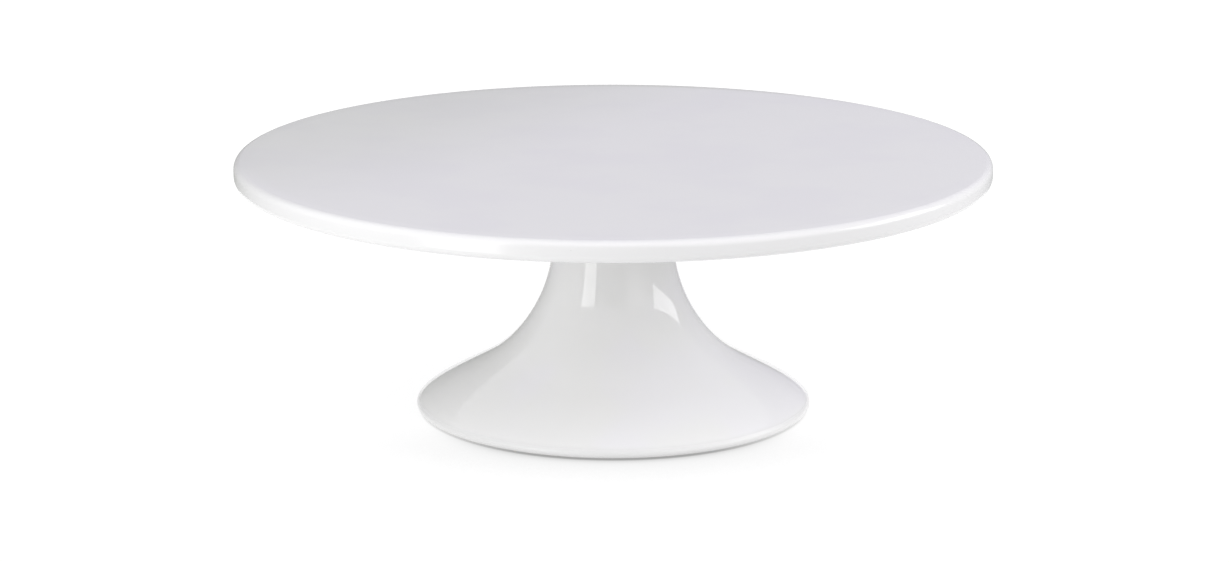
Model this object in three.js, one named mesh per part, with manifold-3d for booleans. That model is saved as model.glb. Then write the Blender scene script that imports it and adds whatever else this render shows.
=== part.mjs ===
// A footed cake stand: a flat round porcelain plate bolted on a hollow, trumpet-shaped porcelain pedestal.
// Millimetres, +Z up. The origin is on the table, under the centre of the plate.
//
// The plate has a boss underneath with a threaded brass insert cemented into it. The boss drops into the
// pedestal's mouth, a silicone gasket lies between the two seats, and a socket-head screw comes up through
// the web that closes the neck. Six silicone pads keep the unglazed foot ring just off the table.

import * as THREE from "three";
import { mergeVertices } from "three/addons/utils/BufferGeometryUtils.js";
import Module from "manifold-3d";

// ---------------------------------------------------------------- driving dimensions

const PLATE_RADIUS = 150;
const STAND_HEIGHT = 103.5; // table to the plate's top face
const PLATE_EDGE = 8.3; // thickness at the rim
const PLATE_SEAT = 10.5; // thickness where it rests on the pedestal
const RIM_TOP_ROUND = 2.8;
const RIM_UNDER_ROUND = 3;

const BASE_RADIUS = 79;
const NECK_RADIUS = 24.4;
const NECK_HEIGHT = 69; // height of the narrowest ring of the neck
const MOUTH_RIM_RADIUS = 33.5; // where the flare meets the plate
const WALL = 5; // porcelain thickness of the hollow pedestal
const FOOT_RING_INNER = 66.5;

const SCREW_RADIUS = 4; // M8
const PAD_COUNT = 6;
const PAD_RADIUS = 4;
const PAD_THICKNESS = 0.6;

// ---------------------------------------------------------------- worked out from them

const FILM = 0.1; // the film of glue or cement round a bonded piece
const CONTACT = 0.05; // between pieces that press on each other

const FOOT_HEIGHT = PAD_THICKNESS + FILM;
const RIM_UNDERSIDE = STAND_HEIGHT - PLATE_EDGE;
const SEAT_HEIGHT = STAND_HEIGHT - PLATE_SEAT;
const SEAT_RADIUS = MOUTH_RIM_RADIUS + 2.5;

const GASKET_THICKNESS = 1.5;
const MOUTH_HEIGHT = SEAT_HEIGHT - GASKET_THICKNESS;
const MOUTH_RADIUS = 23.2;
const MOUTH_FLOOR_RADIUS = 20.2;
const WEB_THICKNESS = 7;
const WEB_UNDERSIDE = NECK_HEIGHT + 6;
const WEB_TOP = WEB_UNDERSIDE + WEB_THICKNESS;
const WEB_HOLE_RADIUS = 7.2;

const BOSS_CLEARANCE = 1;
const BOSS_BOTTOM = WEB_TOP + 2.5;
const POCKET_RADIUS = 9.5;
const POCKET_TOP = STAND_HEIGHT - 6.5;

const INSERT_RADIUS = 7;
const INSERT_TOP = POCKET_TOP - 1.5;
const CUSHION_THICKNESS = 2.5;
const LOAD_WASHER_THICKNESS = 1.5;
const SPRING_WASHER_THICKNESS = 2;
const CUSHION_BOTTOM = WEB_UNDERSIDE - CUSHION_THICKNESS;
const LOAD_WASHER_BOTTOM = CUSHION_BOTTOM - LOAD_WASHER_THICKNESS;
const SPRING_WASHER_BOTTOM = LOAD_WASHER_BOTTOM - SPRING_WASHER_THICKNESS;

const FINE = 48; // segments round the plate and the pedestal
const COARSE = 24; // segments round the small turned pieces

// ---------------------------------------------------------------- materials

const finish = (name, color, roughness, metalness) =>
  new THREE.MeshStandardMaterial({ name, color, roughness, metalness });

const glazedPorcelain = finish("glazed_porcelain", 0xf0f0f1, 0.08, 0);
const silicone = finish("clear_silicone", 0xdfe2e0, 0.45, 0);
const rubber = finish("black_rubber", 0x242424, 0.8, 0);
const nylon = finish("white_nylon", 0xe9e7df, 0.5, 0);
const cement = finish("grey_cement", 0xb3b0a8, 0.9, 0);
const brass = finish("brass", 0xc6a252, 0.35, 1);
const steel = finish("stainless_steel", 0xb9bcc0, 0.3, 1);

// ---------------------------------------------------------------- helpers

const point = (radius, height) => new THREE.Vector2(radius, height);

// A solid of revolution about Z. Its outline runs anticlockwise, with radius across and height up.
function turned(outline, segments) {
  return new THREE.LatheGeometry(outline, segments).rotateX(Math.PI / 2);
}

// The points of a quarter round of corner from one direction to the next, about its centre.
function round(radius, height, size, fromDegrees, toDegrees, steps = 4) {
  const points = [];
  for (let i = 0; i <= steps; i++) {
    const angle = THREE.MathUtils.degToRad(THREE.MathUtils.lerp(fromDegrees, toDegrees, i / steps));
    points.push(point(radius + size * Math.cos(angle), height + size * Math.sin(angle)));
  }
  return points;
}

// A smooth curve that leaves a along aDirection and reaches b along bDirection, without its first point.
function sweep(a, aDirection, b, bDirection, steps) {
  const curve = new THREE.CubicBezierCurve(a, a.clone().add(aDirection), b.clone().sub(bDirection), b);
  return curve.getPoints(steps).slice(1);
}

// Points moved to the left of the way they run, by the same distance everywhere.
function offsetLeft(points, distance) {
  return points.slice(1, -1).map((p, i) => {
    const along = points[i + 2].clone().sub(points[i]).normalize();
    return point(p.x - along.y * distance, p.y + along.x * distance);
  });
}

// A flat ring, with its corners taken off by bevel.
function ring(inner, outer, bottom, top, bevel) {
  return turned(
    [
      point(inner, bottom + bevel),
      point(inner + bevel, bottom),
      point(outer - bevel, bottom),
      point(outer, bottom + bevel),
      point(outer, top - bevel),
      point(outer - bevel, top),
      point(inner + bevel, top),
      point(inner, top - bevel),
      point(inner, bottom + bevel),
    ],
    COARSE,
  );
}

// A geometry as a manifold-3d solid, and back.
const wasm = await Module();
wasm.setup();

function toSolid(geometry) {
  const bare = geometry.clone();
  bare.deleteAttribute("normal");
  bare.deleteAttribute("uv");
  const merged = mergeVertices(bare);
  const vertProperties = merged.attributes.position.array;
  const triVerts = new Uint32Array(merged.index.array);
  return new wasm.Manifold(new wasm.Mesh({ numProp: 3, vertProperties, triVerts }));
}

function toGeometry(solid) {
  const mesh = solid.getMesh();
  const geometry = new THREE.BufferGeometry();
  geometry.setAttribute("position", new THREE.BufferAttribute(mesh.vertProperties, 3));
  geometry.setIndex(new THREE.BufferAttribute(mesh.triVerts, 1));
  geometry.computeVertexNormals();
  return geometry;
}

// ---------------------------------------------------------------- porcelain

// The plate: flat on top, a rounded rim, an underside that swells a little towards the pedestal, and a
// tapered boss with a blind pocket for the insert.
function plateGeometry() {
  const bossTop = MOUTH_RADIUS - BOSS_CLEARANCE;
  const bossFoot = MOUTH_FLOOR_RADIUS - BOSS_CLEARANCE;
  const underRound = RIM_UNDER_ROUND;
  return turned(
    [
      point(0, POCKET_TOP),
      point(POCKET_RADIUS, POCKET_TOP),
      point(POCKET_RADIUS, BOSS_BOTTOM),
      ...round(bossFoot - 1, BOSS_BOTTOM + 1, 1, -90, 0, 2),
      point(bossTop, SEAT_HEIGHT),
      point(SEAT_RADIUS, SEAT_HEIGHT),
      ...round(PLATE_RADIUS - underRound, RIM_UNDERSIDE + underRound, underRound, -90, 0),
      ...round(PLATE_RADIUS - RIM_TOP_ROUND, STAND_HEIGHT - RIM_TOP_ROUND, RIM_TOP_ROUND, 0, 90),
      point(0, STAND_HEIGHT),
    ],
    FINE,
  );
}

// The outside of the pedestal, from the lip at the foot up to the mouth: a rounded shoulder, a long hollow
// sweep to the neck, and a short flare under the plate.
function pedestalOutside() {
  const lip = 3;
  const widest = point(BASE_RADIUS, FOOT_HEIGHT + 2);
  const shoulder = point(48.6, 22); // where the outline turns from swelling to hollow
  const shoulderRun = point(-Math.cos(0.6), Math.sin(0.6));
  const neck = point(NECK_RADIUS, NECK_HEIGHT);
  const up = (length) => point(0, length);
  const mouth = point(MOUTH_RIM_RADIUS, MOUTH_HEIGHT - 2.2);
  return [
    point(BASE_RADIUS - lip, FOOT_HEIGHT),
    point(BASE_RADIUS - 1.1, FOOT_HEIGHT + 0.45),
    widest,
    ...sweep(widest, up(4.1), shoulder, shoulderRun.clone().multiplyScalar(11.3), 6),
    ...sweep(shoulder, shoulderRun.clone().multiplyScalar(10.9), neck, up(24.4), 9),
    ...sweep(neck, up(9), mouth, point(6, 6), 5),
    ...round(MOUTH_RIM_RADIUS - 0.8, MOUTH_HEIGHT - 1.2, 1.2, -20, 90, 3),
  ];
}

// The pedestal: an even wall that follows the outside, a thicker foot ring, and a web that closes the neck.
function pedestalGeometry() {
  const outside = pedestalOutside();
  const fillet = 3;
  const hollowRadius = NECK_RADIUS - WALL;
  const inside = offsetLeft(outside, WALL)
    .filter((p) => p.x < FOOT_RING_INNER && p.y < NECK_HEIGHT + 1)
    .reverse();
  return turned(
    [
      ...outside,
      ...round(MOUTH_RADIUS + 1, MOUTH_HEIGHT - 1, 1, 90, 180, 2),
      point(MOUTH_FLOOR_RADIUS, WEB_TOP),
      point(WEB_HOLE_RADIUS, WEB_TOP),
      point(WEB_HOLE_RADIUS, WEB_UNDERSIDE),
      ...round(hollowRadius - fillet, WEB_UNDERSIDE - fillet, fillet, 90, 0, 3),
      ...inside,
      point(FOOT_RING_INNER, FOOT_HEIGHT + 3.5),
      point(FOOT_RING_INNER, FOOT_HEIGHT + 0.8),
      point(FOOT_RING_INNER + 0.8, FOOT_HEIGHT),
      outside[0],
    ],
    FINE,
  );
}

// ---------------------------------------------------------------- the plate's threaded insert

// Half of the insert's outline: a cylinder with two grooves that the cement keys into, grown by film.
function insertOutside(film) {
  const outer = INSERT_RADIUS + film;
  const root = outer - 1;
  const points = [point(outer, BOSS_BOTTOM)];
  for (const groove of [BOSS_BOTTOM + 2.6, BOSS_BOTTOM + 6.4]) {
    points.push(
      point(outer, groove + film),
      point(root, groove + 0.7 + film),
      point(root, groove + 2.1 - film),
      point(outer, groove + 2.8 - film),
    );
  }
  return points;
}

function insertGeometry() {
  const bore = SCREW_RADIUS + 0.2;
  const start = insertOutside(0)[0];
  return turned(
    [
      point(bore, BOSS_BOTTOM + 0.8),
      point(bore + 0.8, BOSS_BOTTOM),
      ...insertOutside(0),
      point(start.x, INSERT_TOP),
      point(bore, INSERT_TOP),
      point(bore, BOSS_BOTTOM + 0.8),
    ],
    COARSE,
  );
}

// The cement fills the pocket round the insert and over its end.
function cementGeometry() {
  const outer = POCKET_RADIUS - FILM;
  const socket = insertOutside(FILM).reverse();
  return turned(
    [
      point(0, INSERT_TOP + FILM),
      point(INSERT_RADIUS + FILM, INSERT_TOP + FILM),
      ...socket,
      point(outer, BOSS_BOTTOM),
      point(outer, POCKET_TOP - FILM),
      point(0, POCKET_TOP - FILM),
    ],
    COARSE,
  );
}

// ---------------------------------------------------------------- the screw and what lies under its head

// A flanged sleeve that keeps the steel screw off the porcelain.
function bushGeometry() {
  const bore = SCREW_RADIUS + 0.3;
  const sleeve = WEB_HOLE_RADIUS - 0.2;
  const flange = 10;
  const bottom = WEB_UNDERSIDE + 0.6;
  const seat = WEB_TOP + CONTACT;
  const top = seat + 1.5;
  return turned(
    [
      point(bore, bottom),
      point(sleeve - 0.4, bottom),
      point(sleeve, bottom + 0.6),
      point(sleeve, seat),
      point(flange, seat),
      point(flange, top - 0.4),
      point(flange - 0.4, top),
      point(bore, top),
      point(bore, bottom),
    ],
    COARSE,
  );
}

// A split lock washer, squeezed flat: a ring with a slanting gap.
function springWasherGeometry() {
  const inner = SCREW_RADIUS + 0.1;
  const outer = 7.4;
  const gap = THREE.MathUtils.degToRad(5);
  const shape = new THREE.Shape();
  shape.absarc(0, 0, outer, gap, 2 * Math.PI - gap, false);
  shape.absarc(0, 0, inner, 2 * Math.PI - 2 * gap, 0, true);
  const depth = SPRING_WASHER_THICKNESS - 2 * CONTACT;
  return new THREE.ExtrudeGeometry(shape, { depth, bevelEnabled: false, curveSegments: 18 });
}

// An M8 socket-head screw, its head down, with a 6 mm hexagon socket.
function screwGeometry() {
  const headRadius = 6.5;
  const headHeight = 8;
  const socketDepth = 4;
  const socketRadius = 6 / Math.sqrt(3);
  const headTop = SPRING_WASHER_BOTTOM;
  const headBottom = headTop - headHeight;
  const tip = headTop + 25;
  const body = turned(
    [
      point(0, headBottom),
      point(headRadius - 0.8, headBottom),
      point(headRadius, headBottom + 0.8),
      point(headRadius, headTop - 0.3),
      point(headRadius - 0.3, headTop),
      point(SCREW_RADIUS, headTop),
      point(SCREW_RADIUS, tip - 1),
      point(SCREW_RADIUS - 1, tip),
      point(0, tip),
    ],
    COARSE,
  );
  const overshoot = 1;
  const key = new THREE.CylinderGeometry(socketRadius, socketRadius, socketDepth + overshoot, 6)
    .rotateX(Math.PI / 2)
    .translate(0, 0, headBottom + (socketDepth - overshoot) / 2);
  return toGeometry(toSolid(body).subtract(toSolid(key)));
}

// ---------------------------------------------------------------- the pads under the foot ring

function padGeometry() {
  const edge = 0.3;
  return turned(
    [
      point(0, 0),
      ...round(PAD_RADIUS - edge, edge, edge, -90, 0, 2),
      point(PAD_RADIUS, PAD_THICKNESS),
      point(0, PAD_THICKNESS),
    ],
    COARSE,
  );
}

function footPads() {
  const geometry = padGeometry();
  const padCircle = (FOOT_RING_INNER + BASE_RADIUS - 2) / 2;
  const pads = [];
  for (let i = 0; i < PAD_COUNT; i++) {
    const angle = (2 * Math.PI * i) / PAD_COUNT;
    const pad = named(`foot_pad_${i + 1}`, geometry, silicone);
    pad.position.set(padCircle * Math.cos(angle), padCircle * Math.sin(angle), 0);
    pads.push(pad);
  }
  return pads;
}

// ---------------------------------------------------------------- the stand

function named(name, geometry, material) {
  const mesh = new THREE.Mesh(geometry, material);
  mesh.name = name;
  return mesh;
}

// The plate and what is bonded into it.
const plateAssembly = new THREE.Group().add(
  named("cake_plate", plateGeometry(), glazedPorcelain),
  named("insert_cement", cementGeometry(), cement),
  named("threaded_insert", insertGeometry(), brass),
);

// The pedestal, what lies in its mouth, and its pads.
const gasketOuter = MOUTH_RIM_RADIUS - 1.5;
const pedestalAssembly = new THREE.Group().add(
  named("pedestal", pedestalGeometry(), glazedPorcelain),
  named(
    "seat_gasket",
    ring(MOUTH_RADIUS + 1, gasketOuter, MOUTH_HEIGHT + CONTACT, SEAT_HEIGHT - CONTACT, 0.3),
    silicone,
  ),
  named("centring_bush", bushGeometry(), nylon),
  ...footPads(),
);

// The screw, with its washers in order from the porcelain down.
const washerRadius = 15;
const springWasher = named("spring_washer", springWasherGeometry(), steel);
springWasher.position.z = SPRING_WASHER_BOTTOM + CONTACT;
const fasteners = new THREE.Group().add(
  named(
    "cushion_washer",
    ring(SCREW_RADIUS + 0.4, washerRadius, CUSHION_BOTTOM + CONTACT, WEB_UNDERSIDE - CONTACT, 0.3),
    rubber,
  ),
  named(
    "load_washer",
    ring(SCREW_RADIUS + 0.2, washerRadius, LOAD_WASHER_BOTTOM, CUSHION_BOTTOM, 0.15),
    steel,
  ),
  springWasher,
  named("clamp_screw", screwGeometry(), steel),
);

const cakeStand = new THREE.Group();
cakeStand.name = "cake_stand";
cakeStand.add(plateAssembly, pedestalAssembly, fasteners);

export default cakeStand;
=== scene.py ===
"""A footed cake stand in white glazed porcelain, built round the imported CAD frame.

Outlines are in millimetres, as (radius, height) round the stand's axis, and become metres in the meshes.
"""

import math

import bpy
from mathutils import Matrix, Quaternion, Vector, noise


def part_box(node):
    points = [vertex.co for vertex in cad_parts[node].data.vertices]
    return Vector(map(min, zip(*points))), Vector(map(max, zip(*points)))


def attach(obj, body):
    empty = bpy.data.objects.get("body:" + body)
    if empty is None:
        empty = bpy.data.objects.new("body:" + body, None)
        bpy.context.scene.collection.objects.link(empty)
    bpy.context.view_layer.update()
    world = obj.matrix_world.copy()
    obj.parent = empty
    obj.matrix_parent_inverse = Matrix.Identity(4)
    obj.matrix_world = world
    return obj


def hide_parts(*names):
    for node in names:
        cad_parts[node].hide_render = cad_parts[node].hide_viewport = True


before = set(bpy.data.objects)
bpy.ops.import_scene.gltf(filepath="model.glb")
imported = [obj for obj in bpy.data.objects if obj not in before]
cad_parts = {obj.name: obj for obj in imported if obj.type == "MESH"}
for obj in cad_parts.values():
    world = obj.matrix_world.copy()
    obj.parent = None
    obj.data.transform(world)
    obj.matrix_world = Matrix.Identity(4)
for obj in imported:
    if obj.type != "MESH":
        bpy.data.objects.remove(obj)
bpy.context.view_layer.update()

MM = 0.001
FINE = 288  # segments round the porcelain
COARSE = 96  # segments round the small pieces


def extent(node):
    """A CAD node's greatest radius about its own middle, and its lowest and highest levels."""
    low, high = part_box(node)
    return (high.x - low.x) / 2 / MM, low.z / MM, high.z / MM


plate_radius, boss_bottom, plate_top = extent("cake_plate")
base_radius, foot_height, mouth_height = extent("pedestal")
gasket_radius, gasket_bottom, gasket_top = extent("seat_gasket")
cement_radius, cement_bottom, cement_top = extent("insert_cement")
insert_radius, insert_bottom, insert_top = extent("threaded_insert")
bush_radius, bush_bottom, bush_top = extent("centring_bush")
cushion_radius, cushion_bottom, cushion_top = extent("cushion_washer")
load_radius, load_bottom, load_top = extent("load_washer")
spring_radius, spring_bottom, spring_top = extent("spring_washer")
head_radius, head_bottom, screw_tip = extent("clamp_screw")

# The porcelain's inner sizes, which the nodes' boxes don't give.
RIM_THICKNESS = 8.3
RIM_TOP_ROUND = 2.8
RIM_UNDER_ROUND = 3.0
SEAT_RADIUS = 36
NECK_RADIUS = 24.4
NECK_HEIGHT = 69
MOUTH_RIM_RADIUS = 33.5
MOUTH_RADIUS = 23.2
MOUTH_FLOOR_RADIUS = 20.2
SHOULDER = (48.6, 22)  # a point on the pedestal's outside, between the foot and the neck
SHOULDER_SLOPE = 0.6  # radians up from level, where the outside passes it
LIP_HEIGHT = 2  # from the foot's underside up to its widest level
WALL = 5
FOOT_RING_INNER = 66.5
WEB_UNDERSIDE = 75
WEB_TOP = 82
WEB_HOLE_RADIUS = 7.2
POCKET_RADIUS = 9.5
POCKET_TOP = 97
SEAT_HEIGHT = gasket_top + 0.05

SCREW_RADIUS = 4
THREAD_PITCH = 1.25
THREAD_DEPTH = 0.65
SOCKET_APOTHEM = 3  # half the screw's 6 mm hexagon
SOCKET_DEPTH = 4


# ---------------------------------------------------------------- outlines

def rounded(corners, closed=False, step=math.radians(9)):
    """The outline through corners of (radius, height, size of its round), each turned on an arc."""
    points = []
    for i, (radius, height, size) in enumerate(corners):
        at_end = not closed and i in (0, len(corners) - 1)
        if at_end or size == 0:
            points.append((radius, height))
            continue
        here = Vector((radius, height))
        before = (Vector(corners[i - 1][:2]) - here).normalized()
        after = (Vector(corners[(i + 1) % len(corners)][:2]) - here).normalized()
        half = before.angle(after) / 2
        centre = here + (before + after).normalized() * size / math.sin(half)
        first = here + before * size / math.tan(half) - centre
        turn = math.pi - 2 * half
        if before.cross(after) > 0:
            turn = -turn
        count = max(2, math.ceil(abs(turn) / step))
        for k in range(count + 1):
            angle = turn * k / count
            across = first.x * math.cos(angle) - first.y * math.sin(angle)
            up = first.x * math.sin(angle) + first.y * math.cos(angle)
            points.append((centre.x + across, centre.y + up))
    return points


def sweep(a, leaving, b, arriving, steps):
    """A Bezier curve from a to b, which leaves and arrives along two handles, without its first point."""
    a, b = Vector(a), Vector(b)
    handles = [a, a + Vector(leaving), b - Vector(arriving), b]
    points = []
    for k in range(1, steps + 1):
        t = k / steps
        weights = [(1 - t) ** 3, 3 * t * (1 - t) ** 2, 3 * t * t * (1 - t), t**3]
        points.append(tuple(sum((w * h for w, h in zip(weights, handles)), Vector((0, 0)))))
    return points


def spaced(a, b, spacing):
    """Evenly spaced points from a towards b, without either end."""
    a, b = Vector(a), Vector(b)
    count = max(1, round((b - a).length / spacing))
    return [tuple(a.lerp(b, k / count)) for k in range(1, count)]


def offset_left(points, distance):
    """Points moved to the left of the way they run, without the first and the last."""
    moved = []
    for before, here, after in zip(points, points[1:], points[2:]):
        along = (Vector(after) - Vector(before)).normalized()
        moved.append((here[0] - along.y * distance, here[1] + along.x * distance))
    return moved


# ---------------------------------------------------------------- meshes

def mesh_object(name, vertices, faces, crease=40):
    mesh = bpy.data.meshes.new(name)
    mesh.from_pydata([[c * MM for c in v] for v in vertices], [], faces)
    mesh.shade_smooth()
    mesh.set_sharp_from_angle(angle=math.radians(crease))
    made = bpy.data.objects.new(name, mesh)
    bpy.context.scene.collection.objects.link(made)
    return made


def turned(name, outline, segments=FINE, shape=None, centre=(0, 0)):
    """A solid of revolution. Its outline runs anticlockwise, and ends on the axis or closes on itself.

    shape(radius, height, angle) gives the radius and height of a piece that isn't quite round.
    """
    on_axis = outline[0][0] == 0
    rows = outline[1:-1] if on_axis else outline
    vertices = []
    for radius, height in rows:
        for k in range(segments):
            angle = 2 * math.pi * k / segments
            r, h = shape(radius, height, angle) if shape else (radius, height)
            vertices.append((centre[0] + r * math.cos(angle), centre[1] + r * math.sin(angle), h))
    faces = []
    for row in range(len(rows) - 1 if on_axis else len(rows)):
        here, there = row * segments, (row + 1) % len(rows) * segments
        for k in range(segments):
            j = (k + 1) % segments
            faces.append((here + k, here + j, there + j, there + k))
    if on_axis:
        start, end = len(vertices), len(vertices) + 1
        vertices += [(*centre, outline[0][1]), (*centre, outline[-1][1])]
        last = (len(rows) - 1) * segments
        for k in range(segments):
            j = (k + 1) % segments
            faces += [(start, j, k), (last + k, last + j, end)]
    return mesh_object(name, vertices, faces)


def smooth(low, high, value):
    t = min(1, max(0, (value - low) / (high - low)))
    return t * t * (3 - 2 * t)


def fit(piece, node, material):
    """The piece stands for its CAD node, on the stand's one body."""
    piece.data.materials.append(material)
    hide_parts(node)
    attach(piece, "root")
    return piece


# ---------------------------------------------------------------- materials

def node(tree, kind, inputs=None, **settings):
    """A new node. An input that is a socket is linked, and any other value is set."""
    made = tree.nodes.new(kind)
    for key, value in settings.items():
        setattr(made, key, value)
    for key, value in (inputs or {}).items():
        if isinstance(value, bpy.types.NodeSocket):
            tree.links.new(value, made.inputs[key])
        else:
            made.inputs[key].default_value = value
    return made


def new_material(name):
    """A material with no nodes but its object coordinates, in metres."""
    material = bpy.data.materials.new(name)
    material.use_nodes = True
    tree = material.node_tree
    tree.nodes.clear()
    place = node(tree, "ShaderNodeTexCoord").outputs["Object"]
    return material, tree, place


def finish_with(tree, shader):
    output = node(tree, "ShaderNodeOutputMaterial")
    tree.links.new(shader.outputs[0], output.inputs["Surface"])


def grain(tree, place, size, detail=2):
    """Noise whose lumps are about size millimetres across, from 0 to 1."""
    inputs = {"Vector": place, "Scale": 1 / (size * MM), "Detail": detail}
    return node(tree, "ShaderNodeTexNoise", inputs).outputs["Fac"]


def stretch(tree, value, low, high, to_low=0.0, to_high=1.0):
    """value from low to high, eased to the range from to_low to to_high."""
    inputs = {"Value": value, "From Min": low, "From Max": high, "To Min": to_low, "To Max": to_high}
    return node(tree, "ShaderNodeMapRange", inputs, interpolation_type="SMOOTHSTEP").outputs["Result"]


def calculate(tree, operation, a, b=0.0):
    return node(tree, "ShaderNodeMath", {0: a, 1: b}, operation=operation).outputs[0]


def blend_colours(tree, share, first, second):
    made = node(tree, "ShaderNodeMix", {"Factor": share}, data_type="RGBA")
    for name, colour in (("A", first), ("B", second)):
        socket = next(s for s in made.inputs if s.name == name and s.type == "RGBA")
        if isinstance(colour, bpy.types.NodeSocket):
            tree.links.new(colour, socket)
        else:
            socket.default_value = (*colour, 1)
    return next(s for s in made.outputs if s.type == "RGBA")


def bumped(tree, height, depth, under=None):
    """A normal from a height of 0 to 1 that stands for depth millimetres."""
    inputs = {"Height": height, "Distance": depth * MM, "Strength": 1.0}
    if under:
        inputs["Normal"] = under
    return node(tree, "ShaderNodeBump", inputs).outputs["Normal"]


def radius_of(tree, place):
    """The distance from the stand's axis, in metres."""
    flat = node(tree, "ShaderNodeVectorMath", {0: place, 1: (1, 1, 0)}, operation="MULTIPLY").outputs[0]
    return node(tree, "ShaderNodeVectorMath", {0: flat}, operation="LENGTH").outputs["Value"]


# Glaze colours. The edge colour is partly thinner glaze and partly painted tone: lighter on the plate's rim as
# painted light, darker on the pedestal's lip as painted shade.
PLATE_GLAZE = {"even": (0.83, 0.83, 0.832), "pooled": (0.815, 0.812, 0.825), "thin_glaze_and_painted_tone": (0.876, 0.876, 0.872)}
PEDESTAL_GLAZE = {"even": (0.83, 0.83, 0.822), "pooled": (0.83, 0.826, 0.84), "thin_glaze_and_painted_tone": (0.765, 0.765, 0.76)}
BISQUE = (0.74, 0.72, 0.68)
BISQUE_SHADE = (0.66, 0.63, 0.58)
IRON_SPECK = (0.42, 0.38, 0.33)


def porcelain(name, glaze, edge_tone_from, dull_edge, bare_below, bare_above):
    """Glazed porcelain, with bare matt porcelain below and above two levels.

    The glaze thins on the outer edge, outwards from the edge's starting radius, and is rougher by dull_edge.
    The colour there is partly thinner glaze and partly painted tone: lighter on the plate's rim, which is
    painted light, and darker on the pedestal's lip, which is painted shade.
    """
    material, tree, place = new_material(name)
    height = node(tree, "ShaderNodeSeparateXYZ", {0: place}).outputs["Z"]
    radius = radius_of(tree, place)

    drift = grain(tree, place, 45, 3)
    body = blend_colours(tree, stretch(tree, drift, 0.42, 0.62), glaze["even"], glaze["pooled"])
    edge = stretch(tree, radius, edge_tone_from * MM, (edge_tone_from + 2.5) * MM)
    # Painted tone at the outer edge, over the thinner glaze: painted light on the plate's rim, painted shade
    # on the pedestal's lip.
    body = blend_colours(tree, edge, body, glaze["thin_glaze_and_painted_tone"])
    specks = node(tree, "ShaderNodeTexVoronoi", {"Vector": place, "Scale": 1 / (9 * MM)})
    speck = stretch(tree, specks.outputs["Distance"], 0.012, 0.022, 0.35, 0.0)
    body = blend_colours(tree, speck, body, IRON_SPECK)

    wander = calculate(tree, "MULTIPLY", grain(tree, place, 3, 3), 0.9 * MM)
    level = calculate(tree, "ADD", height, wander)
    below = stretch(tree, level, (bare_below + 0.35) * MM, (bare_below + 0.5) * MM, 1.0, 0.0)
    above = stretch(tree, level, (bare_above + 0.35) * MM, (bare_above + 0.5) * MM)
    bare = calculate(tree, "MAXIMUM", below, above)
    grit = grain(tree, place, 0.35, 4)
    biscuit = blend_colours(tree, stretch(tree, grit, 0.3, 0.7), BISQUE, BISQUE_SHADE)
    colour = blend_colours(tree, bare, body, biscuit)

    sheen = stretch(tree, grain(tree, place, 14, 4), 0.3, 0.7, 0.035, 0.07)
    dulled = calculate(tree, "MULTIPLY", edge, dull_edge)
    lift = calculate(tree, "MAXIMUM", dulled, calculate(tree, "MULTIPLY", bare, 0.75))
    roughness = calculate(tree, "ADD", sheen, lift)

    waves = bumped(tree, grain(tree, place, 16, 1), 0.012)
    peel = bumped(tree, grain(tree, place, 2.2, 2), 0.0007, waves)
    ring_wave = 1250.0  # radians a metre, which is about 5 mm from ring to ring
    rings = calculate(tree, "SINE", calculate(tree, "MULTIPLY", radius, ring_wave))
    turned_marks = bumped(tree, stretch(tree, rings, -1, 1), 0.0006, peel)
    gritty = bumped(tree, calculate(tree, "MULTIPLY", grit, bare), 0.12, turned_marks)

    shader = node(
        tree,
        "ShaderNodeBsdfPrincipled",
        {"Base Color": colour, "Roughness": roughness, "Normal": gritty, "IOR": 1.52},
    )
    finish_with(tree, shader)
    return material


def silicone():
    """Milky clear silicone rubber."""
    material, tree, place = new_material("silicone")
    cloud = grain(tree, place, 1.5, 3)
    colour = blend_colours(tree, stretch(tree, cloud, 0.3, 0.7), (0.70, 0.72, 0.71), (0.78, 0.79, 0.78))
    roughness = stretch(tree, grain(tree, place, 0.6, 3), 0.3, 0.7, 0.32, 0.5)
    skin = bumped(tree, grain(tree, place, 0.25, 2), 0.008)
    shader = node(
        tree,
        "ShaderNodeBsdfPrincipled",
        {"Base Color": colour, "Roughness": roughness, "Normal": skin, "IOR": 1.41},
    )
    shader.inputs["Subsurface Weight"].default_value = 0.35
    shader.inputs["Subsurface Scale"].default_value = 0.001
    finish_with(tree, shader)
    return material


def rubber():
    """Black rubber with a dusty bloom."""
    material, tree, place = new_material("rubber")
    bloom = grain(tree, place, 2, 5)
    colour = blend_colours(tree, stretch(tree, bloom, 0.4, 0.75), (0.018, 0.018, 0.018), (0.05, 0.049, 0.047))
    roughness = stretch(tree, bloom, 0.3, 0.7, 0.62, 0.85)
    skin = bumped(tree, grain(tree, place, 0.2, 3), 0.02)
    shader = node(
        tree, "ShaderNodeBsdfPrincipled", {"Base Color": colour, "Roughness": roughness, "Normal": skin}
    )
    finish_with(tree, shader)
    return material


def nylon():
    """Moulded white nylon."""
    material, tree, place = new_material("nylon")
    flow = grain(tree, place, 4, 3)
    colour = blend_colours(tree, stretch(tree, flow, 0.35, 0.7), (0.76, 0.75, 0.69), (0.82, 0.81, 0.76))
    roughness = stretch(tree, flow, 0.3, 0.7, 0.38, 0.55)
    skin = bumped(tree, grain(tree, place, 0.3, 2), 0.01)
    shader = node(
        tree, "ShaderNodeBsdfPrincipled", {"Base Color": colour, "Roughness": roughness, "Normal": skin}
    )
    finish_with(tree, shader)
    return material


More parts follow.
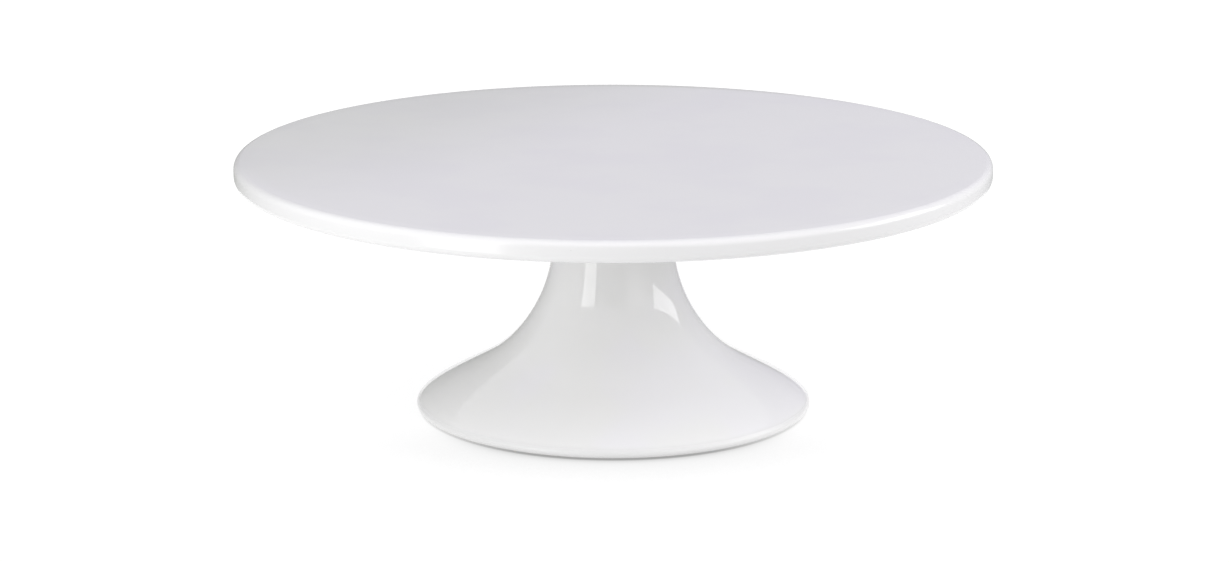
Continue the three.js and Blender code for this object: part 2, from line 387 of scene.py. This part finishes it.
def cement():
    """Grey cement with sand in it."""
    material, tree, place = new_material("cement")
    sand = grain(tree, place, 0.5, 6)
    colour = blend_colours(tree, stretch(tree, sand, 0.3, 0.7), (0.30, 0.29, 0.27), (0.52, 0.50, 0.46))
    skin = bumped(tree, sand, 0.15)
    roughness = stretch(tree, sand, 0.2, 0.8, 0.8, 0.98)
    shader = node(
        tree, "ShaderNodeBsdfPrincipled", {"Base Color": colour, "Roughness": roughness, "Normal": skin}
    )
    finish_with(tree, shader)
    return material


def turned_metal(name, light, dark, low, high):
    """Machined metal: fine marks round the axis, a little cloudy, roughness from low to high."""
    material, tree, place = new_material(name)
    height = node(tree, "ShaderNodeSeparateXYZ", {0: place}).outputs["Z"]
    travel = calculate(tree, "ADD", radius_of(tree, place), height)
    along = node(tree, "ShaderNodeCombineXYZ", {"Z": travel}).outputs[0]
    marks = grain(tree, along, 0.12, 3)
    cloud = grain(tree, place, 2.5, 4)
    colour = blend_colours(tree, stretch(tree, cloud, 0.35, 0.7), light, dark)
    worn = calculate(tree, "MULTIPLY", calculate(tree, "ADD", marks, cloud), 0.5)
    roughness = stretch(tree, worn, 0.3, 0.7, low, high)
    skin = bumped(tree, marks, 0.006)
    shader = node(
        tree, "ShaderNodeBsdfPrincipled", {"Base Color": colour, "Roughness": roughness, "Normal": skin}
    )
    shader.inputs["Metallic"].default_value = 1.0
    finish_with(tree, shader)
    return material


plate_porcelain = porcelain(
    "plate_porcelain", PLATE_GLAZE, plate_radius - 2.2, 0.12, SEAT_HEIGHT + 0.2, plate_top + 5
)
pedestal_porcelain = porcelain(
    "pedestal_porcelain", PEDESTAL_GLAZE, base_radius - 2.4, 0.35, foot_height + 0.3, mouth_height - 0.5
)
milky_silicone = silicone()
black_rubber = rubber()
white_nylon = nylon()
grey_cement = cement()
brass = turned_metal("brass", (0.62, 0.41, 0.13), (0.42, 0.26, 0.07), 0.22, 0.42)
stainless = turned_metal("stainless", (0.56, 0.57, 0.58), (0.42, 0.43, 0.44), 0.2, 0.38)


# ---------------------------------------------------------------- the plate

def plate_warp(radius, height, angle):
    """The slight warp that a fired plate has, growing towards its rim."""
    share = (radius / plate_radius) ** 2
    lift = 0.10 * math.cos(2 * angle + 0.6) + 0.05 * math.cos(3 * angle + 2.1)
    return radius, height + lift * share - 0.15 * share


def make_plate():
    rim_underside = plate_top - RIM_THICKNESS
    boss_root_radius = MOUTH_RADIUS - 1
    boss_end_radius = MOUTH_FLOOR_RADIUS - 1
    edge = rounded(
        [
            (0, POCKET_TOP, 0),
            (POCKET_RADIUS, POCKET_TOP, 0.4),
            (POCKET_RADIUS, boss_bottom, 0.5),
            (boss_end_radius, boss_bottom, 1.2),
            (boss_root_radius, SEAT_HEIGHT, 0.6),
            (SEAT_RADIUS, SEAT_HEIGHT, 6),
            (plate_radius, rim_underside, RIM_UNDER_ROUND),
            (plate_radius, plate_top, RIM_TOP_ROUND),
            (0, plate_top, 0),
        ],
        step=math.radians(6),
    )
    outline = [edge[0]]
    for a, b in zip(edge, edge[1:]):
        outline += [*spaced(a, b, 6), b]
    piece = turned("porcelain_plate", outline, shape=plate_warp)
    return fit(piece, "cake_plate", plate_porcelain)


# ---------------------------------------------------------------- the pedestal

def pedestal_outside():
    """The outside from the lip at the foot up to the mouth: a rounded shoulder, a long sweep, a flare."""
    underlip = (base_radius - 3, foot_height)
    widest = (base_radius, foot_height + LIP_HEIGHT)
    run = Vector((-math.cos(SHOULDER_SLOPE), math.sin(SHOULDER_SLOPE)))
    neck = (NECK_RADIUS, NECK_HEIGHT)
    mouth_side = (MOUTH_RIM_RADIUS, mouth_height - 2.2)
    return [
        underlip,
        *sweep(underlip, (1.7, 0), widest, (0, 1.1), 8),
        *sweep(widest, (0, 4.1), SHOULDER, run * 11.3, 26),
        *sweep(SHOULDER, run * 10.9, neck, (0, 24.4), 40),
        *sweep(neck, (0, 9), mouth_side, (6, 6), 18),
    ]


def pedestal_warp(radius, height, angle):
    """The slight warp of a casting, whose waist is a little hollower in front and behind than at its sides."""
    share = smooth(NECK_HEIGHT, foot_height, height)
    waist = smooth(60, 40, height) * smooth(22, 38, height)
    hollow = 0.9 * waist * math.sin(angle) ** 2
    return radius * (1 + 0.0006 * share * math.cos(2 * angle + 1.3)) - hollow, height


def make_pedestal():
    outside = pedestal_outside()
    inside = offset_left(outside, WALL)
    inside = [p for p in inside if p[0] < FOOT_RING_INNER and p[1] < NECK_HEIGHT + 1][::-1]
    mouth = rounded(
        [
            (*outside[-1], 0),
            (MOUTH_RIM_RADIUS + 0.5, mouth_height, 1.4),
            (MOUTH_RADIUS, mouth_height, 1.0),
            (MOUTH_FLOOR_RADIUS, WEB_TOP, 1.2),
            (WEB_HOLE_RADIUS, WEB_TOP, 0.5),
            (WEB_HOLE_RADIUS, WEB_UNDERSIDE, 0.5),
            (NECK_RADIUS - WALL, WEB_UNDERSIDE, 3),
            (*inside[0], 0),
        ]
    )
    foot = rounded(
        [
            (*inside[-1], 0),
            (FOOT_RING_INNER, foot_height + 5.6, 1.6),
            (FOOT_RING_INNER, foot_height, 0.8),
            (*outside[0], 0),
        ]
    )
    outline = [*outside, *mouth[1:-1], *inside, *foot[1:-1]]
    piece = turned("porcelain_pedestal", outline, shape=pedestal_warp)
    return fit(piece, "pedestal", pedestal_porcelain)


make_plate()
make_pedestal()


# ---------------------------------------------------------------- the silicone gasket and pads

def make_gasket():
    """Squeezed between the two seats, so that its edges belly out."""
    inner = MOUTH_RADIUS + 1
    middle = (gasket_bottom + gasket_top) / 2
    belly = 0.35
    outline = [
        (inner + 0.2, gasket_bottom),
        (gasket_radius - 0.2, gasket_bottom),
        *sweep((gasket_radius - 0.2, gasket_bottom), (belly, 0.1), (gasket_radius, middle), (0, 0.35), 5),
        *sweep((gasket_radius, middle), (0, 0.35), (gasket_radius - 0.2, gasket_top), (-belly, 0.1), 5),
        (inner + 0.2, gasket_top),
        *sweep((inner + 0.2, gasket_top), (-belly, -0.1), (inner, middle), (0, -0.35), 5),
        *sweep((inner, middle), (0, -0.35), (inner + 0.2, gasket_bottom), (belly, -0.1), 5)[:-1],
    ]
    fit(turned("silicone_gasket", outline), "seat_gasket", milky_silicone)


def make_pads():
    """Six self-adhesive pads, each a low dome that is flat where it stands."""
    pads = sorted(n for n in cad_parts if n.startswith("foot_pad_"))
    for i, name in enumerate(pads, start=1):
        low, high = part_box(name)
        centre = ((low.x + high.x) / 2 / MM, (low.y + high.y) / 2 / MM)
        radius, bottom, top = extent(name)
        outline = rounded(
            [
                (0, bottom, 0),
                (radius - 0.4, bottom, 0.2),
                (radius, bottom + 0.4, 0.2),
                (radius - 0.1, top, 0.1),
                (0, top, 0),
            ]
        )
        piece = turned(f"silicone_pad_{i}", outline, 64, centre=centre)
        fit(piece, name, milky_silicone)


make_gasket()
make_pads()


# ---------------------------------------------------------------- threads

def thread_height(height, angle):
    """How far a point lies up the flank of a right-hand thread, from 0 at its root to 1 at its crest."""
    phase = (height / THREAD_PITCH - angle / (2 * math.pi)) % 1
    return min(1, max(0, (1 - abs(2 * phase - 1) - 0.125) / 0.75))


# ---------------------------------------------------------------- the insert and its cement

def insert_outline(film):
    """From the insert's foot up its side, with two grooves for the cement, grown by film."""
    outer = insert_radius + film
    root = outer - 1
    points = [(outer, insert_bottom)]
    for groove in (insert_bottom + 2.6, insert_bottom + 6.4):
        points += [
            (outer, groove + film),
            (root, groove + 0.7 + film),
            (root, groove + 2.1 - film),
            (outer, groove + 2.8 - film),
        ]
    return points


def make_insert():
    bore = SCREW_RADIUS - THREAD_DEPTH + 0.1
    knurls = 36
    lead_in = insert_bottom + 0.9

    def shape(radius, height, angle):
        if radius <= bore + 0.01 and height > lead_in:
            share = smooth(lead_in, lead_in + 0.6, height) * smooth(insert_top, insert_top - 0.6, height)
            return radius + share * THREAD_DEPTH * thread_height(height, angle), height
        if radius >= insert_radius - 0.01 and insert_bottom + 0.4 < height < insert_top - 0.4:
            return radius - 0.25 * abs(math.sin(knurls / 2 * angle)), height
        return radius, height

    side = insert_outline(0)
    outline = [
        (bore, lead_in),
        (bore + 0.9, insert_bottom),
        (insert_radius - 0.3, insert_bottom),
        (insert_radius, insert_bottom + 0.3),
    ]
    for a, b in zip(side, [*side[1:], (insert_radius, insert_top - 0.3)]):
        if a != side[0]:
            outline.append(a)
        outline += spaced((a[0], max(a[1], insert_bottom + 0.3)), b, 0.5)
    outline += [
        (insert_radius, insert_top - 0.3),
        (insert_radius - 0.3, insert_top),
        (bore, insert_top),
        *spaced((bore, insert_top), (bore, lead_in), THREAD_PITCH / 10),
    ]
    piece = turned("brass_insert", outline, 216, shape)
    fit(piece, "threaded_insert", brass)


def make_cement():
    socket = insert_outline(0.1)[::-1]
    meniscus = 0.5

    def shape(radius, height, angle):
        if height > cement_bottom + 0.6 or radius > cement_radius - 0.2 or radius < insert_radius + 0.3:
            return radius, height
        lump = noise.noise(Vector((radius * math.cos(angle), radius * math.sin(angle), 0)) * 0.9)
        return radius, height + 0.12 * lump

    outline = [
        (0, insert_top + 0.1),
        (insert_radius + 0.1, insert_top + 0.1),
        *socket[:-1],
        (insert_radius + 0.1, cement_bottom + 0.1),
        (insert_radius + 0.5, cement_bottom + meniscus),
        ((insert_radius + cement_radius) / 2, cement_bottom + meniscus + 0.15),
        (cement_radius - 0.5, cement_bottom + meniscus),
        (cement_radius, cement_bottom),
        (cement_radius, cement_top - 0.3),
        (cement_radius - 0.3, cement_top),
        (0, cement_top),
    ]
    fit(turned("set_cement", outline, COARSE, shape), "insert_cement", grey_cement)


make_insert()
make_cement()


# ---------------------------------------------------------------- the screw and what lies under its head

def make_bush():
    """A flanged sleeve, with six crush ribs that centre it in the web."""
    bore = SCREW_RADIUS + 0.3
    sleeve = WEB_HOLE_RADIUS - 0.2
    seat = WEB_TOP + 0.05

    def shape(radius, height, angle):
        if abs(radius - sleeve) < 0.02 and height < seat - 0.5:
            rib = max(0, math.cos(6 * angle)) ** 24
            taper = smooth(bush_bottom + 0.6, bush_bottom + 2, height)
            return radius + 0.14 * rib * taper, height
        return radius, height

    corners = [
        (bore, bush_bottom, 0.3),
        (sleeve, bush_bottom, 0.6),
        (sleeve, seat, 0.2),
        (bush_radius, seat, 0.15),
        (bush_radius, bush_top, 0.4),
        (bore, bush_top, 0.3),
    ]
    arcs = rounded(corners, closed=True)
    outline = []
    for a, b in zip(arcs, [*arcs[1:], arcs[0]]):
        outline += [a, *spaced(a, b, 0.7)]
    piece = turned("nylon_bush", outline, 216, shape)
    fit(piece, "centring_bush", white_nylon)


def make_cushion():
    inner = SCREW_RADIUS + 0.4
    middle = (cushion_bottom + cushion_top) / 2
    outline = [
        (inner + 0.25, cushion_bottom),
        (cushion_radius - 0.35, cushion_bottom),
        *sweep((cushion_radius - 0.35, cushion_bottom), (0.3, 0.2), (cushion_radius, middle), (0, 0.7), 6),
        *sweep((cushion_radius, middle), (0, 0.7), (cushion_radius - 0.35, cushion_top), (-0.3, 0.2), 6),
        (inner + 0.25, cushion_top),
        *sweep((inner + 0.25, cushion_top), (-0.25, -0.1), (inner, middle), (0, -0.7), 6),
        *sweep((inner, middle), (0, -0.7), (inner + 0.25, cushion_bottom), (0.25, -0.1), 6)[:-1],
    ]
    fit(turned("rubber_cushion", outline, COARSE), "cushion_washer", black_rubber)


def make_load_washer():
    """Stamped: rolled over at one face's edges, and sharp at the other's."""
    inner = SCREW_RADIUS + 0.2
    outline = rounded(
        [
            (inner, load_bottom, 0.45),
            (load_radius, load_bottom, 0.5),
            (load_radius, load_top, 0.1),
            (inner, load_top, 0.1),
        ],
        closed=True,
    )
    piece = turned("steel_load_washer", outline, 128)
    fit(piece, "load_washer", stainless)


def make_spring_washer():
    """A ring of square wire, cut on a slant, with its two ends a little apart in height."""
    inner = SCREW_RADIUS + 0.1
    section = rounded(
        [
            (inner, spring_bottom + 0.05, 0.25),
            (spring_radius, spring_bottom, 0.25),
            (spring_radius, spring_top, 0.25),
            (inner, spring_top - 0.05, 0.25),
        ],
        closed=True,
    )
    gap = math.radians(5)
    slant = math.radians(7)
    steps = 120
    middle = (spring_bottom + spring_top) / 2
    vertices = []
    for k in range(steps + 1):
        share = k / steps
        for radius, height in section:
            up = (height - middle) / (spring_top - spring_bottom)
            angle = gap + (2 * math.pi - 2 * gap) * share + slant * up
            vertices.append((radius * math.cos(angle), radius * math.sin(angle), height))
    count = len(section)
    faces = [tuple(range(count)), tuple(steps * count + i for i in reversed(range(count)))]
    for k in range(steps):
        for i in range(count):
            j = (i + 1) % count
            faces.append((k * count + i, (k + 1) * count + i, (k + 1) * count + j, k * count + j))
    piece = mesh_object("split_washer", vertices, faces, crease=50)
    fit(piece, "spring_washer", stainless)


def make_screw():
    """M8 by 25, head down: a knurled head, a hexagon socket with a drilled bottom, and a rolled thread."""
    head_top = spring_bottom
    socket_floor = head_bottom + SOCKET_DEPTH
    chamfer_radius = SOCKET_APOTHEM + 0.75
    tip_radius = SCREW_RADIUS - THREAD_DEPTH - 0.25
    deepest = tip_radius - 0.5  # the thread never cuts nearer to the axis than this
    crest = SCREW_RADIUS - 0.05
    knurls = 48
    thread_start = head_top + 0.8

    def shape(radius, height, angle):
        if radius <= SOCKET_APOTHEM + 0.001 and height < socket_floor + 0.01:
            corner = abs((angle % (math.pi / 3)) - math.pi / 6)
            return radius / math.cos(corner), height
        if abs(radius - head_radius) < 0.001 and head_bottom + 1.2 < height < head_top - 1.2:
            return radius - 0.16 * abs(math.sin(knurls / 2 * angle)), height
        if radius <= crest + 0.001 and height > thread_start:
            share = smooth(thread_start, thread_start + 1, height)
            depth = min(THREAD_DEPTH, radius - deepest)
            return radius - share * (1 - thread_height(height, angle)) * depth, height
        return radius, height

    outline = [
        (0, socket_floor + 1.2),
        (1.4, socket_floor + 0.45),
        (SOCKET_APOTHEM, socket_floor),
        *spaced((SOCKET_APOTHEM, socket_floor), (SOCKET_APOTHEM, head_bottom + 0.35), 0.7),
        (SOCKET_APOTHEM, head_bottom + 0.35),
        (chamfer_radius, head_bottom),
        *rounded(
            [
                (4.5, head_bottom, 0),
                (head_radius, head_bottom, 0.9),
                (head_radius, head_bottom + 2, 0),
            ]
        ),
        *spaced((head_radius, head_bottom + 1), (head_radius, head_top - 0.4), 0.4)[2:],
        *rounded([(head_radius, head_top - 1, 0), (head_radius, head_top, 0.3), (5.5, head_top, 0)])[1:],
        (SCREW_RADIUS + 0.35, head_top),
        (crest, head_top + 0.35),
        *spaced((crest, head_top + 0.35), (crest, screw_tip - 1), THREAD_PITCH / 10),
        (crest, screw_tip - 1),
        (tip_radius, screw_tip),
        (0, screw_tip),
    ]
    piece = turned("socket_screw", outline, 288, shape)
    fit(piece, "clamp_screw", stainless)


make_bush()
make_cushion()
make_load_washer()
make_spring_washer()
make_screw()


# ---------------------------------------------------------------- floor, light and camera

def make_floor():
    """A small white table that glows evenly, with a painted shadow close to the stand, mostly in front of it.
    """
    half = 300
    front, side = -75 * MM, -30 * MM
    corners = [(-half, -half, 0), (half, -half, 0), (half, half, 0), (-half, half, 0)]
    floor = mesh_object("floor", corners, [(0, 1, 2, 3)])
    material = bpy.data.materials.new("floor")
    material.use_nodes = True
    tree = material.node_tree
    tree.nodes.clear()
    place = node(tree, "ShaderNodeTexCoord").outputs["Object"]
    depth = node(tree, "ShaderNodeSeparateXYZ", {0: place}).outputs["Y"]
    near = node(tree, "ShaderNodeAmbientOcclusion", {"Distance": 80 * MM}, samples=16).outputs["AO"]
    # Painted shadow: the glow is dimmed where ambient occlusion finds the stand near, as a dark line under the
    # foot's lip and a soft shade mostly in front.
    hidden = calculate(tree, "SUBTRACT", 1.0, near)
    painted_contact_line = stretch(tree, hidden, 0.6, 0.9, 0.0, 0.65)
    painted_contact_line = calculate(tree, "MULTIPLY", painted_contact_line, stretch(tree, depth, front, side, 1.0, 0.5))
    shade = calculate(tree, "MULTIPLY", calculate(tree, "POWER", hidden, 0.45), 0.38)
    shade = calculate(tree, "MULTIPLY", shade, stretch(tree, depth, front, side + 5 * MM, 1.0, 0.1))
    share = calculate(tree, "SUBTRACT", 1.0, calculate(tree, "MAXIMUM", painted_contact_line, shade))
    glow = calculate(tree, "MULTIPLY", share, 0.92)
    shine = node(tree, "ShaderNodeEmission", {"Strength": glow})
    cloth = node(tree, "ShaderNodeBsdfDiffuse", {"Color": (0.12, 0.12, 0.12, 1)})
    both = node(tree, "ShaderNodeAddShader", {0: shine.outputs[0], 1: cloth.outputs[0]})
    finish_with(tree, both)
    floor.data.materials.append(material)


def make_world():
    """A dim room with wide soft lights, and white wherever the camera itself looks.

    Each light, or dark wall, is laid over those before it.
    """
    world = bpy.data.worlds.new("studio")
    bpy.context.scene.world = world
    world.use_nodes = True
    tree = world.node_tree
    tree.nodes.clear()
    way = node(tree, "ShaderNodeTexCoord").outputs["Generated"]

    def towards(azimuth, elevation, inner, outer):
        """1 within inner degrees of a direction, 0 beyond outer. Azimuth 0 is +Y, and 90 is +X."""
        a, e = math.radians(azimuth), math.radians(elevation)
        aim = (math.sin(a) * math.cos(e), math.cos(a) * math.cos(e), math.sin(e))
        along = node(tree, "ShaderNodeVectorMath", {0: way, 1: aim}, operation="DOT_PRODUCT").outputs["Value"]
        return stretch(tree, along, math.cos(math.radians(outer)), math.cos(math.radians(inner)))

    walls, ceiling = (0.42, 0.42, 0.43), (0.42, 0.41, 0.45)
    colour = blend_colours(tree, towards(0, 90, 20, 70), walls, ceiling)
    left_wall = (0.86, 0.86, 0.87)
    colour = blend_colours(tree, towards(-100, 36, 24, 56), colour, left_wall)
    high_in_front = (1.52, 1.50, 1.54)
    colour = blend_colours(tree, towards(155, 48, 20, 60), colour, high_in_front)
    high_behind = (0.50, 0.485, 0.55)
    colour = blend_colours(tree, towards(8, 25, 11, 36), colour, high_behind)
    low_behind = (0.30, 0.31, 0.29)
    colour = blend_colours(tree, towards(-11, -12, 24, 26), colour, low_behind)
    left_behind = (0.29, 0.29, 0.28)
    colour = blend_colours(tree, towards(-35, 10, 8, 30), colour, left_behind)
    round_the_camera = (0.08, 0.08, 0.08)
    colour = blend_colours(tree, towards(190, 0, 26, 46), colour, round_the_camera)
    seen = node(tree, "ShaderNodeLightPath").outputs["Is Camera Ray"]
    colour = blend_colours(tree, seen, colour, (1.1, 1.1, 1.1))
    background = node(tree, "ShaderNodeBackground", {"Color": colour})
    output = node(tree, "ShaderNodeOutputWorld")
    tree.links.new(background.outputs[0], output.inputs["Surface"])


def softbox(name, azimuth, elevation, distance, width, height, radiance, lean=0.0):
    """A lamp panel that faces the middle of the stand, turned by lean degrees about the line to it.

    Azimuth 0 is behind the stand (+Y), and 90 is on its right (+X).
    """
    lamp = bpy.data.lights.new(name, "AREA")
    lamp.shape = "RECTANGLE"
    lamp.size, lamp.size_y = width, height
    lamp.energy = radiance * math.pi * width * height
    a, e = math.radians(azimuth), math.radians(elevation)
    aim = Vector((math.sin(a) * math.cos(e), math.cos(a) * math.cos(e), math.sin(e)))
    box = bpy.data.objects.new(name, lamp)
    box.location = Vector((0, 0, 0.06)) + aim * distance
    level = aim.to_track_quat("Z", "Y")
    box.rotation_euler = (level @ Quaternion((0, 0, 1), math.radians(lean))).to_euler()
    box.visible_camera = False
    bpy.context.scene.collection.objects.link(box)


def make_camera():
    camera = bpy.data.cameras.new("camera")
    camera.lens = 105.6
    camera.sensor_width = 36
    made = bpy.data.objects.new("camera", camera)
    made.location = (0.0005, -1.4, 0.3994)
    looks_down = math.radians(13.95)
    made.rotation_euler = (math.pi / 2 - looks_down, 0, 0)
    bpy.context.scene.collection.objects.link(made)
    bpy.context.scene.camera = made


make_floor()
make_world()
softbox("left_softbox", 221, 6, 0.9, 0.34, 0.89, 3.5)
softbox("right_softbox", 92, 20.5, 0.9, 0.62, 0.4, 3.4, lean=11)
make_camera()
bpy.context.scene.view_settings.view_transform = "Standard"
